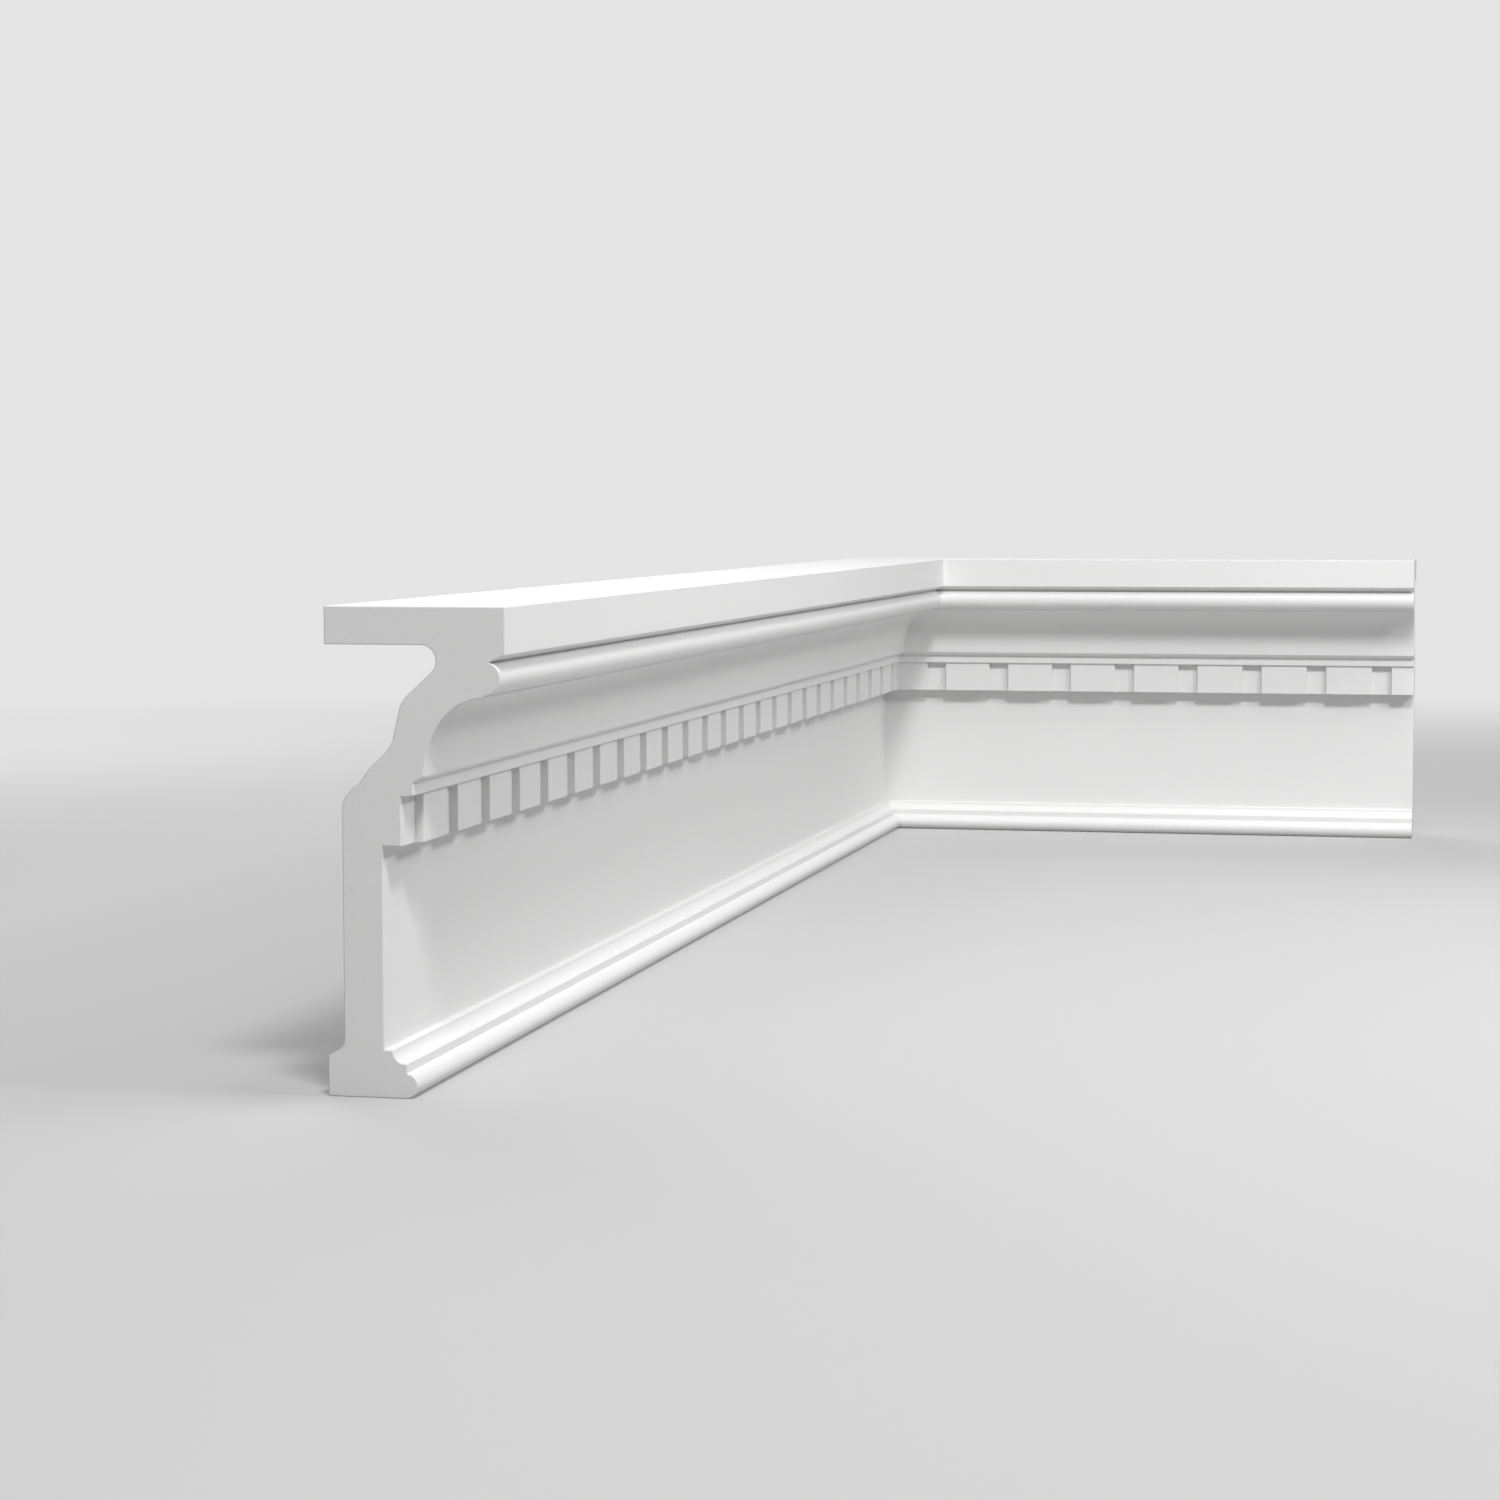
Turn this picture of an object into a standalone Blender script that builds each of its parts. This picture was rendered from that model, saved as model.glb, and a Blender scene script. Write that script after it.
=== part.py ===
"""A white hollow-backed moulding with a dentil band, turned round an inner corner.

Two lengths of one section meet in a mitre: a long run and a short return. Metres, +Z up. The origin is
at the middle of the L-shaped plan's box, on the underside. The long run lies along Y with its open back
towards -X, and the return lies along X with its open back towards +Y, so the moulded faces look towards
+X and -Y.
"""
from math import acos, cos, hypot, pi, radians, sin, tan

import bmesh
import bpy
from mathutils import Matrix, Vector

# Overall sizes
HEIGHT = 0.200
PROJECTION = 0.0762
LONG_RUN = 1.175
RETURN_RUN = 0.410
MITRE_GAP = 0.0003

# The shell: the web behind the plain field, the channel behind the web, and the shelf on top
WEB_THICKNESS = 0.017
CHANNEL_DEPTH = 0.007
SHELF_THICKNESS = 0.0155

# Fascia, the quirk under it, and the bead
FASCIA_HEIGHT = 0.0193
QUIRK_DEPTH = 0.0068
QUIRK_DROP = 0.0030
BEAD_RADIUS = 0.0069
BEAD_TOP_ANGLE = radians(72)
BEAD_STEP = 0.0009

# The large cove, the sloping soffit at its foot, and the fillet over the dentils
COVE_HEIGHT = 0.0320
COVE_LIP = 0.0045
SOFFIT_DROP = 0.0024
FILLET_HEIGHT = 0.0054
FILLET_LIP = 0.0016

# The dentil band: its blocks, the gaps between them, and the blocks at the two ends of the pattern
BAND_STEP = 0.0080
DENTIL_DEPTH = 0.0038
DENTIL_HEIGHT = 0.0205
DENTIL_WIDTH = 0.0325
DENTIL_GAP = 0.0136
FIRST_GAP = 0.0182
CORNER_DENTIL = 0.0221
SMALLEST_DENTIL = 0.0040

# The foot: a ledge and cove, a fillet, and the bead that ends the section
FOOT_LEDGE = 0.0036
FOOT_COVE_RADIUS = 0.0055
FOOT_FILLET_LIP = 0.0006
FOOT_FILLET_HEIGHT = 0.00385
FOOT_BEAD_RADIUS = 0.0052
FOOT_BEAD_INSET = 0.0007

# The channel's outline behind the mouldings, from the heel up to the nose under the shelf
HEEL_HEIGHT = 0.0166
HEEL_SLOPE = radians(30.5)
HEEL_RADIUS = 0.005
HAUNCH_SLOPE = radians(48)
HAUNCH_RADIUS = 0.010
HAUNCH_WAVE = 0.0004
WAVE_RADIUS = 0.006
WAIST_WALL = 0.0135
WAIST_RISE = 0.0134
WAIST_RADIUS = 0.010
SHOULDER_WALL = 0.0096
SHOULDER_DROP = 0.0015
SHOULDER_RADIUS = 0.012
NOSE_SLOPE = radians(42.5)
NOSE_RADIUS = 0.0063

# Where the haunch swells into the channel and back, as shares of its way up to the waist
HAUNCH_KNEES = (0.20, 0.34, 0.57, 0.84)

# How finely round stretches are cut
ARC_STEP = radians(7.5)
CUT_MARGIN = 0.005
WELD = 0.00001
SHARP_ANGLE = radians(25)

# Places that follow from the sizes above, outwards from the back plane and upwards from the underside
FIELD_FACE = CHANNEL_DEPTH + WEB_THICKNESS
GAP_FACE = FIELD_FACE + BAND_STEP
DENTIL_FACE = GAP_FACE + DENTIL_DEPTH
FILLET_FACE = DENTIL_FACE + FILLET_LIP
COVE_FOOT_FACE = FILLET_FACE + COVE_LIP
QUIRK_FACE = PROJECTION - QUIRK_DEPTH
BEAD_CENTRE_OUT = QUIRK_FACE - BEAD_RADIUS * cos(BEAD_TOP_ANGLE)
FASCIA_FOOT = HEIGHT - FASCIA_HEIGHT
QUIRK_FOOT = FASCIA_FOOT - QUIRK_DROP
BEAD_CENTRE_UP = QUIRK_FOOT - BEAD_RADIUS * sin(BEAD_TOP_ANGLE)
COVE_TOP = BEAD_CENTRE_UP - BEAD_RADIUS - BEAD_STEP
COVE_FOOT = COVE_TOP - COVE_HEIGHT
FILLET_TOP = COVE_FOOT - SOFFIT_DROP
BAND_TOP = FILLET_TOP - FILLET_HEIGHT
BAND_FOOT = BAND_TOP - DENTIL_HEIGHT
FOOT_COVE_OUT = FIELD_FACE + FOOT_LEDGE + FOOT_COVE_RADIUS
FOOT_FACE = FOOT_COVE_OUT + FOOT_FILLET_LIP
FOOT_BEAD_OUT = FOOT_FACE - FOOT_BEAD_INSET
FOOT_BEAD_ANGLE = acos(FOOT_BEAD_INSET / FOOT_BEAD_RADIUS)
FOOT_FILLET_FOOT = FOOT_BEAD_RADIUS * (1 + sin(FOOT_BEAD_ANGLE))
FOOT_FILLET_TOP = FOOT_FILLET_FOOT + FOOT_FILLET_HEIGHT
FOOT_TOP = FOOT_FILLET_TOP + FOOT_COVE_RADIUS
DENTIL_PITCH = DENTIL_WIDTH + DENTIL_GAP

# The two planes that the open backs lie in, and the upright edge where they meet
BACK_X = -RETURN_RUN / 2
BACK_Y = LONG_RUN / 2
CORNER = Vector((BACK_X, BACK_Y, 0))
MITRE_NORMAL = Vector((1, 1, 0)).normalized()


def clear_scene():
    """Removes whatever the file holds."""
    for thing in list(bpy.data.objects):
        bpy.data.objects.remove(thing, do_unlink=True)


def make_collection(name):
    """Adds a collection to the scene."""
    group = bpy.data.collections.new(name)
    bpy.context.scene.collection.children.link(group)
    return group


def white_primer(name):
    """The matt white factory primer on rigid foam."""
    material = bpy.data.materials.new(name)
    material.use_nodes = True
    shader = material.node_tree.nodes["Principled BSDF"]
    shader.inputs["Base Color"].default_value = (0.86, 0.86, 0.85, 1)
    shader.inputs["Roughness"].default_value = 0.55
    shader.inputs["Metallic"].default_value = 0.0
    return material


def arc(centre, radius_out, radius_up, start, end):
    """Points along a stretch of an ellipse, both ends included."""
    steps = max(3, round(abs(end - start) / ARC_STEP))
    angles = [start + (end - start) * i / steps for i in range(steps + 1)]
    return [Vector((centre[0] + radius_out * cos(a), centre[1] + radius_up * sin(a))) for a in angles]


def rounded_corner(before, corner, after, radius):
    """Points of the arc that touches both legs of a corner, no larger than half of the shorter leg allows."""
    into = before - corner
    away = after - corner
    half_angle = into.angle(away) / 2
    reach = min(radius / tan(half_angle), 0.5 * min(into.length, away.length))
    radius = reach * tan(half_angle)
    start = corner + into.normalized() * reach
    end = corner + away.normalized() * reach
    bisector = (into.normalized() + away.normalized()).normalized()
    centre = corner + bisector * hypot(reach, radius)
    turn = pi - 2 * half_angle
    steps = max(2, round(turn / ARC_STEP))
    first = start - centre
    side = 1 if first.x * (end - centre).y - first.y * (end - centre).x > 0 else -1
    return [centre + Matrix.Rotation(side * turn * i / steps, 2) @ first for i in range(steps + 1)]


def moulded_face():
    """The face that shows, from the back edge of the shelf down to the front of the underside."""
    points = [
        Vector((0, HEIGHT)),
        Vector((PROJECTION, HEIGHT)),
        Vector((PROJECTION, FASCIA_FOOT)),
    ]
    points += arc((BEAD_CENTRE_OUT, BEAD_CENTRE_UP), BEAD_RADIUS, BEAD_RADIUS, BEAD_TOP_ANGLE, -pi / 2)
    points += arc(
        (BEAD_CENTRE_OUT, COVE_FOOT), BEAD_CENTRE_OUT - COVE_FOOT_FACE, COVE_HEIGHT, pi / 2, pi,
    )
    points += [
        Vector((FILLET_FACE, FILLET_TOP)),
        Vector((FILLET_FACE, BAND_TOP)),
        Vector((DENTIL_FACE, BAND_TOP)),
        Vector((DENTIL_FACE, BAND_FOOT)),
        Vector((FIELD_FACE, BAND_FOOT)),
        Vector((FIELD_FACE, FOOT_TOP)),
    ]
    points += arc((FOOT_COVE_OUT, FOOT_TOP), FOOT_COVE_RADIUS, FOOT_COVE_RADIUS, pi, 1.5 * pi)
    points.append(Vector((FOOT_FACE, FOOT_FILLET_TOP)))
    points += arc(
        (FOOT_BEAD_OUT, FOOT_BEAD_RADIUS), FOOT_BEAD_RADIUS, FOOT_BEAD_RADIUS, FOOT_BEAD_ANGLE, -pi / 2,
    )
    return points


def channel():
    """The open back, from the underside up to the shelf."""
    heel = Vector((0, HEEL_HEIGHT))
    web_foot = Vector((CHANNEL_DEPTH, HEEL_HEIGHT + CHANNEL_DEPTH * tan(HEEL_SLOPE)))
    waist = Vector((COVE_FOOT_FACE - WAIST_WALL, COVE_FOOT + WAIST_RISE))
    haunch = Vector((CHANNEL_DEPTH, waist.y - (waist.x - CHANNEL_DEPTH) * tan(HAUNCH_SLOPE)))
    shoulder = Vector((COVE_FOOT_FACE - SHOULDER_WALL, COVE_TOP - SHOULDER_DROP))
    shelf_foot = HEIGHT - SHELF_THICKNESS
    nose = Vector((shoulder.x + (shelf_foot - shoulder.y) / tan(NOSE_SLOPE), shelf_foot))
    shelf_back = Vector((0, shelf_foot))
    swell = Matrix.Rotation(pi / 2, 2) @ (waist - haunch).normalized() * HAUNCH_WAVE
    knees = [haunch.lerp(waist, share) + swell * (-1) ** i for i, share in enumerate(HAUNCH_KNEES)]
    corners = [heel, web_foot, haunch, *knees, waist, shoulder, nose, shelf_back]
    radii = [HEEL_RADIUS, HAUNCH_RADIUS] + [WAVE_RADIUS] * len(knees)
    radii += [WAIST_RADIUS, SHOULDER_RADIUS, NOSE_RADIUS]
    points = [Vector((0, 0)), heel]
    for before, corner, after, radius in zip(corners, corners[1:], corners[2:], radii):
        points += rounded_corner(before, corner, after, radius)
    points.append(shelf_back)
    return points


def extruded_length(name, length, middle, turn):
    """A square-ended length of the section: outline in a flat curve, extruded both ways from its middle."""
    outline = bpy.data.curves.new(name + "_outline", "CURVE")
    outline.dimensions = "2D"
    outline.fill_mode = "BOTH"
    outline.extrude = length / 2
    points = moulded_face() + channel()
    spline = outline.splines.new("POLY")
    spline.points.add(len(points) - 1)
    for slot, point in zip(spline.points, points):
        slot.co = (point.x, point.y, 0, 1)
    spline.use_cyclic_u = True
    guide = bpy.data.objects.new(name + "_guide", outline)
    bpy.context.scene.collection.objects.link(guide)
    guide.location = middle
    guide.rotation_euler = (pi / 2, 0, turn)
    bpy.context.view_layer.update()
    solid = bpy.data.meshes.new_from_object(guide.evaluated_get(bpy.context.evaluated_depsgraph_get()))
    solid.transform(guide.matrix_world)
    bpy.data.objects.remove(guide, do_unlink=True)
    shape = bmesh.new()
    shape.from_mesh(solid)
    bmesh.ops.remove_doubles(shape, verts=shape.verts, dist=WELD)
    bmesh.ops.recalc_face_normals(shape, faces=shape.faces)
    shape.to_mesh(solid)
    shape.free()
    return bpy.data.objects.new(name, solid)


def boxes(name, ranges):
    """One cutter made of separate boxes, each given by its lowest and highest corner."""
    shape = bmesh.new()
    for low, high in ranges:
        low, high = Vector(low), Vector(high)
        place = Matrix.Translation((low + high) / 2) @ Matrix.Diagonal((high - low).to_4d())
        bmesh.ops.create_cube(shape, size=1, matrix=place)
    mesh = bpy.data.meshes.new(name)
    shape.to_mesh(mesh)
    shape.free()
    return bpy.data.objects.new(name, mesh)


def mitre_cutter(name, side):
    """A block that fills the space on one side of the mitre, up to half the joint's gap from it."""
    size = 2 * (PROJECTION + HEIGHT)
    cutter = boxes(name, [((-size / 2,) * 3, (size / 2,) * 3)])
    cutter.location = CORNER + MITRE_NORMAL * side * (size - MITRE_GAP) / 2
    cutter.rotation_euler = (0, 0, pi / 4)
    return cutter


def gap_places(first, start, end, stop):
    """Where the gaps along one run begin and end.

    The first gap runs from first to start. No gap leaves a dentil narrower than the smallest one before stop,
    which is the end of the run or the corner: such a gap runs on past the end, or is left out before the
    corner.
    """
    places = [(first, start)]
    low = start + DENTIL_WIDTH
    while low < stop - SMALLEST_DENTIL:
        high = low + DENTIL_GAP
        if high > stop - SMALLEST_DENTIL:
            if end is None:
                break
            high = end
        places.append((low, high))
        low = high + DENTIL_WIDTH
    return places


def long_run_gaps():
    """Gap cutters along the long run, from its square end to the corner."""
    square_end = BACK_Y - LONG_RUN
    places = gap_places(-CUT_MARGIN, FIRST_GAP, None, LONG_RUN - DENTIL_FACE)
    return [
        (
            (BACK_X + GAP_FACE, square_end + low, BAND_FOOT - CUT_MARGIN),
            (BACK_X + DENTIL_FACE + CUT_MARGIN, square_end + high, BAND_TOP),
        )
        for low, high in places
    ]


def return_gaps():
    """Gap cutters along the return, from the corner to its square end."""
    first = DENTIL_FACE + CORNER_DENTIL
    places = gap_places(first, first + DENTIL_GAP, RETURN_RUN + CUT_MARGIN, RETURN_RUN)
    return [
        (
            (BACK_X + low, BACK_Y - DENTIL_FACE - CUT_MARGIN, BAND_FOOT - CUT_MARGIN),
            (BACK_X + high, BACK_Y - GAP_FACE, BAND_TOP),
        )
        for low, high in places
    ]


def cut(solid, cutter, cutters):
    """Takes the cutter out of the solid with an exact Boolean that stays on it."""
    cutters.objects.link(cutter)
    cutter.hide_render = True
    cutter.display_type = "WIRE"
    step = solid.modifiers.new(cutter.name, "BOOLEAN")
    step.operation = "DIFFERENCE"
    step.solver = "EXACT"
    step.object = cutter


def build_run(name, length, middle, turn, side, gaps, parts, cutters):
    """One length of the moulding: extruded, mitred at the corner, and cut into dentils."""
    solid = extruded_length(name, length, middle, turn)
    parts.objects.link(solid)
    solid.data.materials.clear()
    solid.data.materials.append(white_primer(name + "_primer"))
    cut(solid, mitre_cutter(name + "_mitre", side), cutters)
    cut(solid, boxes(name + "_gaps", gaps), cutters)
    solid.data.shade_smooth()
    solid.data.set_sharp_from_angle(angle=SHARP_ANGLE)


def main():
    clear_scene()
    parts = make_collection("wall_moulding")
    cutters = make_collection("cutters")
    long_middle = (BACK_X, BACK_Y - LONG_RUN / 2, 0)
    return_middle = (BACK_X + RETURN_RUN / 2, BACK_Y, 0)
    build_run("long_run", LONG_RUN, long_middle, 0, 1, long_run_gaps(), parts, cutters)
    build_run("short_return", RETURN_RUN, return_middle, -pi / 2, -1, return_gaps(), parts, cutters)


if __name__ == "__main__":
    main()
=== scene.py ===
"""Dresses a white dentil moulding that turns an inner corner: two castings, their finishes and a studio.

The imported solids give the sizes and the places. Each length is cast again here as one fine mesh, with
softened arrises and with finishes for the primed face, the bare back and the sawn ends. Metres, +Z up, in the
part's own frame.
"""

import logging
from dataclasses import dataclass
from enum import Enum
from math import acos, cos, hypot, pi, radians, sin, tan
from typing import Any, Sequence

import bmesh
import bpy
from mathutils import Matrix, Vector


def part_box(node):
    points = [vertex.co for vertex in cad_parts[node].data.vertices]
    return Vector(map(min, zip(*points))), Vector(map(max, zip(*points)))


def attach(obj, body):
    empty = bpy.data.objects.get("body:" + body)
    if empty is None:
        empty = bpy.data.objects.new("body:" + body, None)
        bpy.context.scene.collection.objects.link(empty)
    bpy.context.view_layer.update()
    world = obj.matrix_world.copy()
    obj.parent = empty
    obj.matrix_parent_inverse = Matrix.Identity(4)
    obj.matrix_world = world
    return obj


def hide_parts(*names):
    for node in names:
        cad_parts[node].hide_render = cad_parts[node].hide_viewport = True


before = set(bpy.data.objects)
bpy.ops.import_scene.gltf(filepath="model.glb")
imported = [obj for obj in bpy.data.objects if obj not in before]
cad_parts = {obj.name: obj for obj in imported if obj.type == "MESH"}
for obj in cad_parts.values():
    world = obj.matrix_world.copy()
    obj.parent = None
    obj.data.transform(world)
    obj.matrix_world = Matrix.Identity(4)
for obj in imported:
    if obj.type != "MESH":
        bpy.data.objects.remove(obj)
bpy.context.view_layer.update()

log = logging.getLogger("wall_moulding")

MM = 0.001
PHOTO_SIDE = 1500
SENSOR = 36.0
LEAST_FACETS = 2
LEAST_MITRE = 0.5

Colour = tuple[float, float, float]
Place = tuple[float, float, float]


class Skin(Enum):
    """The kinds of surface on a length, in the order in which they are dressed."""

    PRIMED = "primed"
    BACK = "back"
    SAWN = "sawn"


class Mitre(Enum):
    """Which end of a length is mitred, counted along its run."""

    START = 0
    END = 1


@dataclass(frozen=True)
class SectionPoint:
    """One point of the section, outwards from the back and upwards from the underside."""

    out: float
    up: float
    skin: Skin = Skin.PRIMED

    @property
    def place(self) -> Vector:
        """The point as a vector."""
        return Vector((self.out, self.up))


@dataclass(frozen=True)
class Section:
    """The moulding's section, with the same driving sizes as the solids that it stands for."""

    height: float
    projection: float
    web: float = 17.0 * MM
    channel: float = 7.0 * MM
    shelf: float = 15.5 * MM
    fascia: float = 19.3 * MM
    quirk_depth: float = 6.8 * MM
    quirk_drop: float = 3.0 * MM
    bead: float = 6.9 * MM
    bead_top: float = radians(72)
    bead_step: float = 0.9 * MM
    cove: float = 32.0 * MM
    cove_lip: float = 4.5 * MM
    soffit_drop: float = 2.4 * MM
    fillet: float = 5.4 * MM
    fillet_lip: float = 1.6 * MM
    band_step: float = 8.0 * MM
    dentil_depth: float = 3.8 * MM
    dentil_height: float = 20.5 * MM
    foot_ledge: float = 3.6 * MM
    foot_cove: float = 5.5 * MM
    foot_fillet_lip: float = 0.6 * MM
    foot_fillet: float = 3.85 * MM
    foot_bead: float = 5.2 * MM
    foot_bead_inset: float = 0.7 * MM
    heel: float = 16.6 * MM
    heel_slope: float = radians(30.5)
    heel_radius: float = 5.0 * MM
    haunch_slope: float = radians(48)
    haunch_radius: float = 10.0 * MM
    haunch_wave: float = 0.4 * MM
    haunch_knees: tuple[float, ...] = (0.20, 0.34, 0.57, 0.84)
    wave_radius: float = 6.0 * MM
    waist_wall: float = 13.5 * MM
    waist_rise: float = 13.4 * MM
    waist_radius: float = 10.0 * MM
    shoulder_wall: float = 9.6 * MM
    shoulder_drop: float = 1.5 * MM
    shoulder_radius: float = 12.0 * MM
    nose_slope: float = radians(42.5)
    nose_radius: float = 6.3 * MM
    arris: float = 0.45 * MM
    crease: float = 0.2 * MM
    arc_step: float = radians(3)
    arris_step: float = radians(18)
    corner_angle: float = radians(20)

    @property
    def field_face(self) -> float:
        """The plain field's distance from the back."""
        return self.channel + self.web

    @property
    def gap_face(self) -> float:
        """The face between the dentils."""
        return self.field_face + self.band_step

    @property
    def dentil_face(self) -> float:
        """The dentils' fronts."""
        return self.gap_face + self.dentil_depth

    @property
    def cove_foot_face(self) -> float:
        """The foot of the large cove."""
        return self.dentil_face + self.fillet_lip + self.cove_lip

    @property
    def bead_centre(self) -> Vector:
        """The centre of the bead under the fascia."""
        out = self.projection - self.quirk_depth - self.bead * cos(self.bead_top)
        return Vector((out, self.height - self.fascia - self.quirk_drop - self.bead * sin(self.bead_top)))

    @property
    def cove_foot(self) -> float:
        """The height of the large cove's foot."""
        return self.bead_centre.y - self.bead - self.bead_step - self.cove

    @property
    def band_top(self) -> float:
        """The top of the dentil band, under the fillet."""
        return self.cove_foot - self.soffit_drop - self.fillet

    @property
    def band_foot(self) -> float:
        """The underside of the dentils."""
        return self.band_top - self.dentil_height

    def arc(self, centre: Vector, radii: tuple[float, float], start: float, end: float) -> list[SectionPoint]:
        """A stretch of an ellipse on the moulded face.

        Args:
            centre: its centre.
            radii: its half axes, outwards and upwards.
            start: the first angle, from the outward axis.
            end: the last angle.

        Returns:
            The points, both ends included.
        """
        steps = max(LEAST_FACETS, round(abs(end - start) / self.arc_step))
        angles = [start + (end - start) * i / steps for i in range(steps + 1)]
        return [SectionPoint(centre.x + radii[0] * cos(a), centre.y + radii[1] * sin(a)) for a in angles]

    @staticmethod
    def rounded(
        before: Vector, corner: Vector, after: Vector, radius: float, skin: Skin, step: float
    ) -> list[SectionPoint]:
        """The arc that touches both legs of a corner.

        Args:
            before: the far end of the leg that comes in.
            corner: the corner.
            after: the far end of the leg that goes out.
            radius: the arc's radius, where the legs are long enough for it.
            skin: the surface that it bounds.
            step: about how far each of its facets turns.

        Returns:
            The arc's points, both ends included.
        """
        into = before - corner
        away = after - corner
        half = into.angle(away) / 2
        reach = min(radius / tan(half), 0.5 * min(into.length, away.length))
        radius = reach * tan(half)
        start = corner + into.normalized() * reach
        end = corner + away.normalized() * reach
        centre = corner + (into.normalized() + away.normalized()).normalized() * hypot(reach, radius)
        turn = pi - 2 * half
        steps = max(LEAST_FACETS, round(turn / step))
        first = start - centre
        side = 1 if first.x * (end - centre).y - first.y * (end - centre).x > 0 else -1
        spots = [centre + Matrix.Rotation(side * turn * i / steps, 2) @ first for i in range(steps + 1)]
        return [SectionPoint(spot.x, spot.y, skin) for spot in spots]

    def moulded_face(self) -> list[SectionPoint]:
        """The primed face, from the back edge of the shelf down to the front of the underside."""
        fillet_face = self.dentil_face + self.fillet_lip
        points = [
            SectionPoint(0, self.height, Skin.BACK),
            SectionPoint(self.projection, self.height),
            SectionPoint(self.projection, self.height - self.fascia),
        ]
        points += self.arc(self.bead_centre, (self.bead, self.bead), self.bead_top, -pi / 2)
        cove_centre = Vector((self.bead_centre.x, self.cove_foot))
        points += self.arc(cove_centre, (self.bead_centre.x - self.cove_foot_face, self.cove), pi / 2, pi)
        points += [
            SectionPoint(fillet_face, self.cove_foot - self.soffit_drop),
            SectionPoint(fillet_face, self.band_top),
            SectionPoint(self.dentil_face, self.band_top),
            SectionPoint(self.dentil_face, self.band_foot),
            SectionPoint(self.field_face, self.band_foot),
        ]
        return points + self.foot()

    def foot(self) -> list[SectionPoint]:
        """The ledge, cove, fillet and bead that end the section."""
        cove_out = self.field_face + self.foot_ledge + self.foot_cove
        face = cove_out + self.foot_fillet_lip
        angle = acos(self.foot_bead_inset / self.foot_bead)
        bead_top = self.foot_bead * (1 + sin(angle))
        top = bead_top + self.foot_fillet + self.foot_cove
        points = [SectionPoint(self.field_face, top)]
        points += self.arc(Vector((cove_out, top)), (self.foot_cove, self.foot_cove), pi, 1.5 * pi)
        points.append(SectionPoint(face, bead_top + self.foot_fillet))
        centre = Vector((face - self.foot_bead_inset, self.foot_bead))
        return points + self.arc(centre, (self.foot_bead, self.foot_bead), angle, -pi / 2)

    def back(self) -> list[SectionPoint]:
        """The open back, from the underside up to the shelf."""
        heel = Vector((0, self.heel))
        web_foot = Vector((self.channel, self.heel + self.channel * tan(self.heel_slope)))
        waist = Vector((self.cove_foot_face - self.waist_wall, self.cove_foot + self.waist_rise))
        haunch = Vector((self.channel, waist.y - (waist.x - self.channel) * tan(self.haunch_slope)))
        shoulder_up = self.cove_foot + self.cove - self.shoulder_drop
        shoulder = Vector((self.cove_foot_face - self.shoulder_wall, shoulder_up))
        shelf_foot = self.height - self.shelf
        nose = Vector((shoulder.x + (shelf_foot - shoulder.y) / tan(self.nose_slope), shelf_foot))
        swell = Matrix.Rotation(pi / 2, 2) @ (waist - haunch).normalized() * self.haunch_wave
        knees = [haunch.lerp(waist, share) + swell * (-1) ** i for i, share in enumerate(self.haunch_knees)]
        corners = [heel, web_foot, haunch, *knees, waist, shoulder, nose, Vector((0, shelf_foot))]
        radii = [self.heel_radius, self.haunch_radius] + [self.wave_radius] * len(knees)
        radii += [self.waist_radius, self.shoulder_radius, self.nose_radius]
        points = [SectionPoint(0, 0, Skin.BACK), SectionPoint(0, self.heel, Skin.BACK)]
        for before, corner, after, radius in zip(corners, corners[1:], corners[2:], radii):
            points += self.rounded(before, corner, after, radius, Skin.BACK, self.arc_step)
        return points + [SectionPoint(0, shelf_foot, Skin.BACK)]

    def outline(self) -> list[SectionPoint]:
        """The whole section, clockwise from the shelf's back edge, with its arrises and creases softened."""
        sharp = self.moulded_face() + self.back()
        turns = self.turns(sharp)
        corners = [point.place for point, turn in zip(sharp, turns) if abs(turn) > self.corner_angle]
        clear = 2 * self.arris
        kept = [
            point
            for point, turn in zip(sharp, turns)
            if abs(turn) > self.corner_angle or min((point.place - c).length for c in corners) > clear
        ]
        soft: list[SectionPoint] = []
        for i, (point, turn) in enumerate(zip(kept, self.turns(kept))):
            if abs(turn) < self.corner_angle:
                soft.append(point)
                continue
            before, after = kept[i - 1].place, kept[(i + 1) % len(kept)].place
            radius = self.arris if turn > 0 else self.crease
            soft += self.rounded(before, point.place, after, radius, point.skin, self.arris_step)
        return soft

    @staticmethod
    def turns(points: Sequence[SectionPoint]) -> list[float]:
        """How far an outline turns at each of its points, above zero where it turns right."""
        turns = []
        for i, point in enumerate(points):
            into = point.place - points[i - 1].place
            away = points[(i + 1) % len(points)].place - point.place
            turns.append(into.angle_signed(away))
        return turns

    @staticmethod
    def inward(points: Sequence[SectionPoint]) -> list[Vector]:
        """Which way each point of a clockwise outline moves when the outline shrinks evenly.

        Args:
            points: the outline.

        Returns:
            A vector for each point, one unit deep measured square to its edges.
        """
        ways = []
        for i, point in enumerate(points):
            into = (point.place - points[i - 1].place).normalized()
            away = (points[(i + 1) % len(points)].place - point.place).normalized()
            first = Vector((into.y, -into.x))
            second = Vector((away.y, -away.x))
            middle = (first + second).normalized()
            ways.append(middle / max(middle.dot(first), LEAST_MITRE))
        return ways


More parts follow.
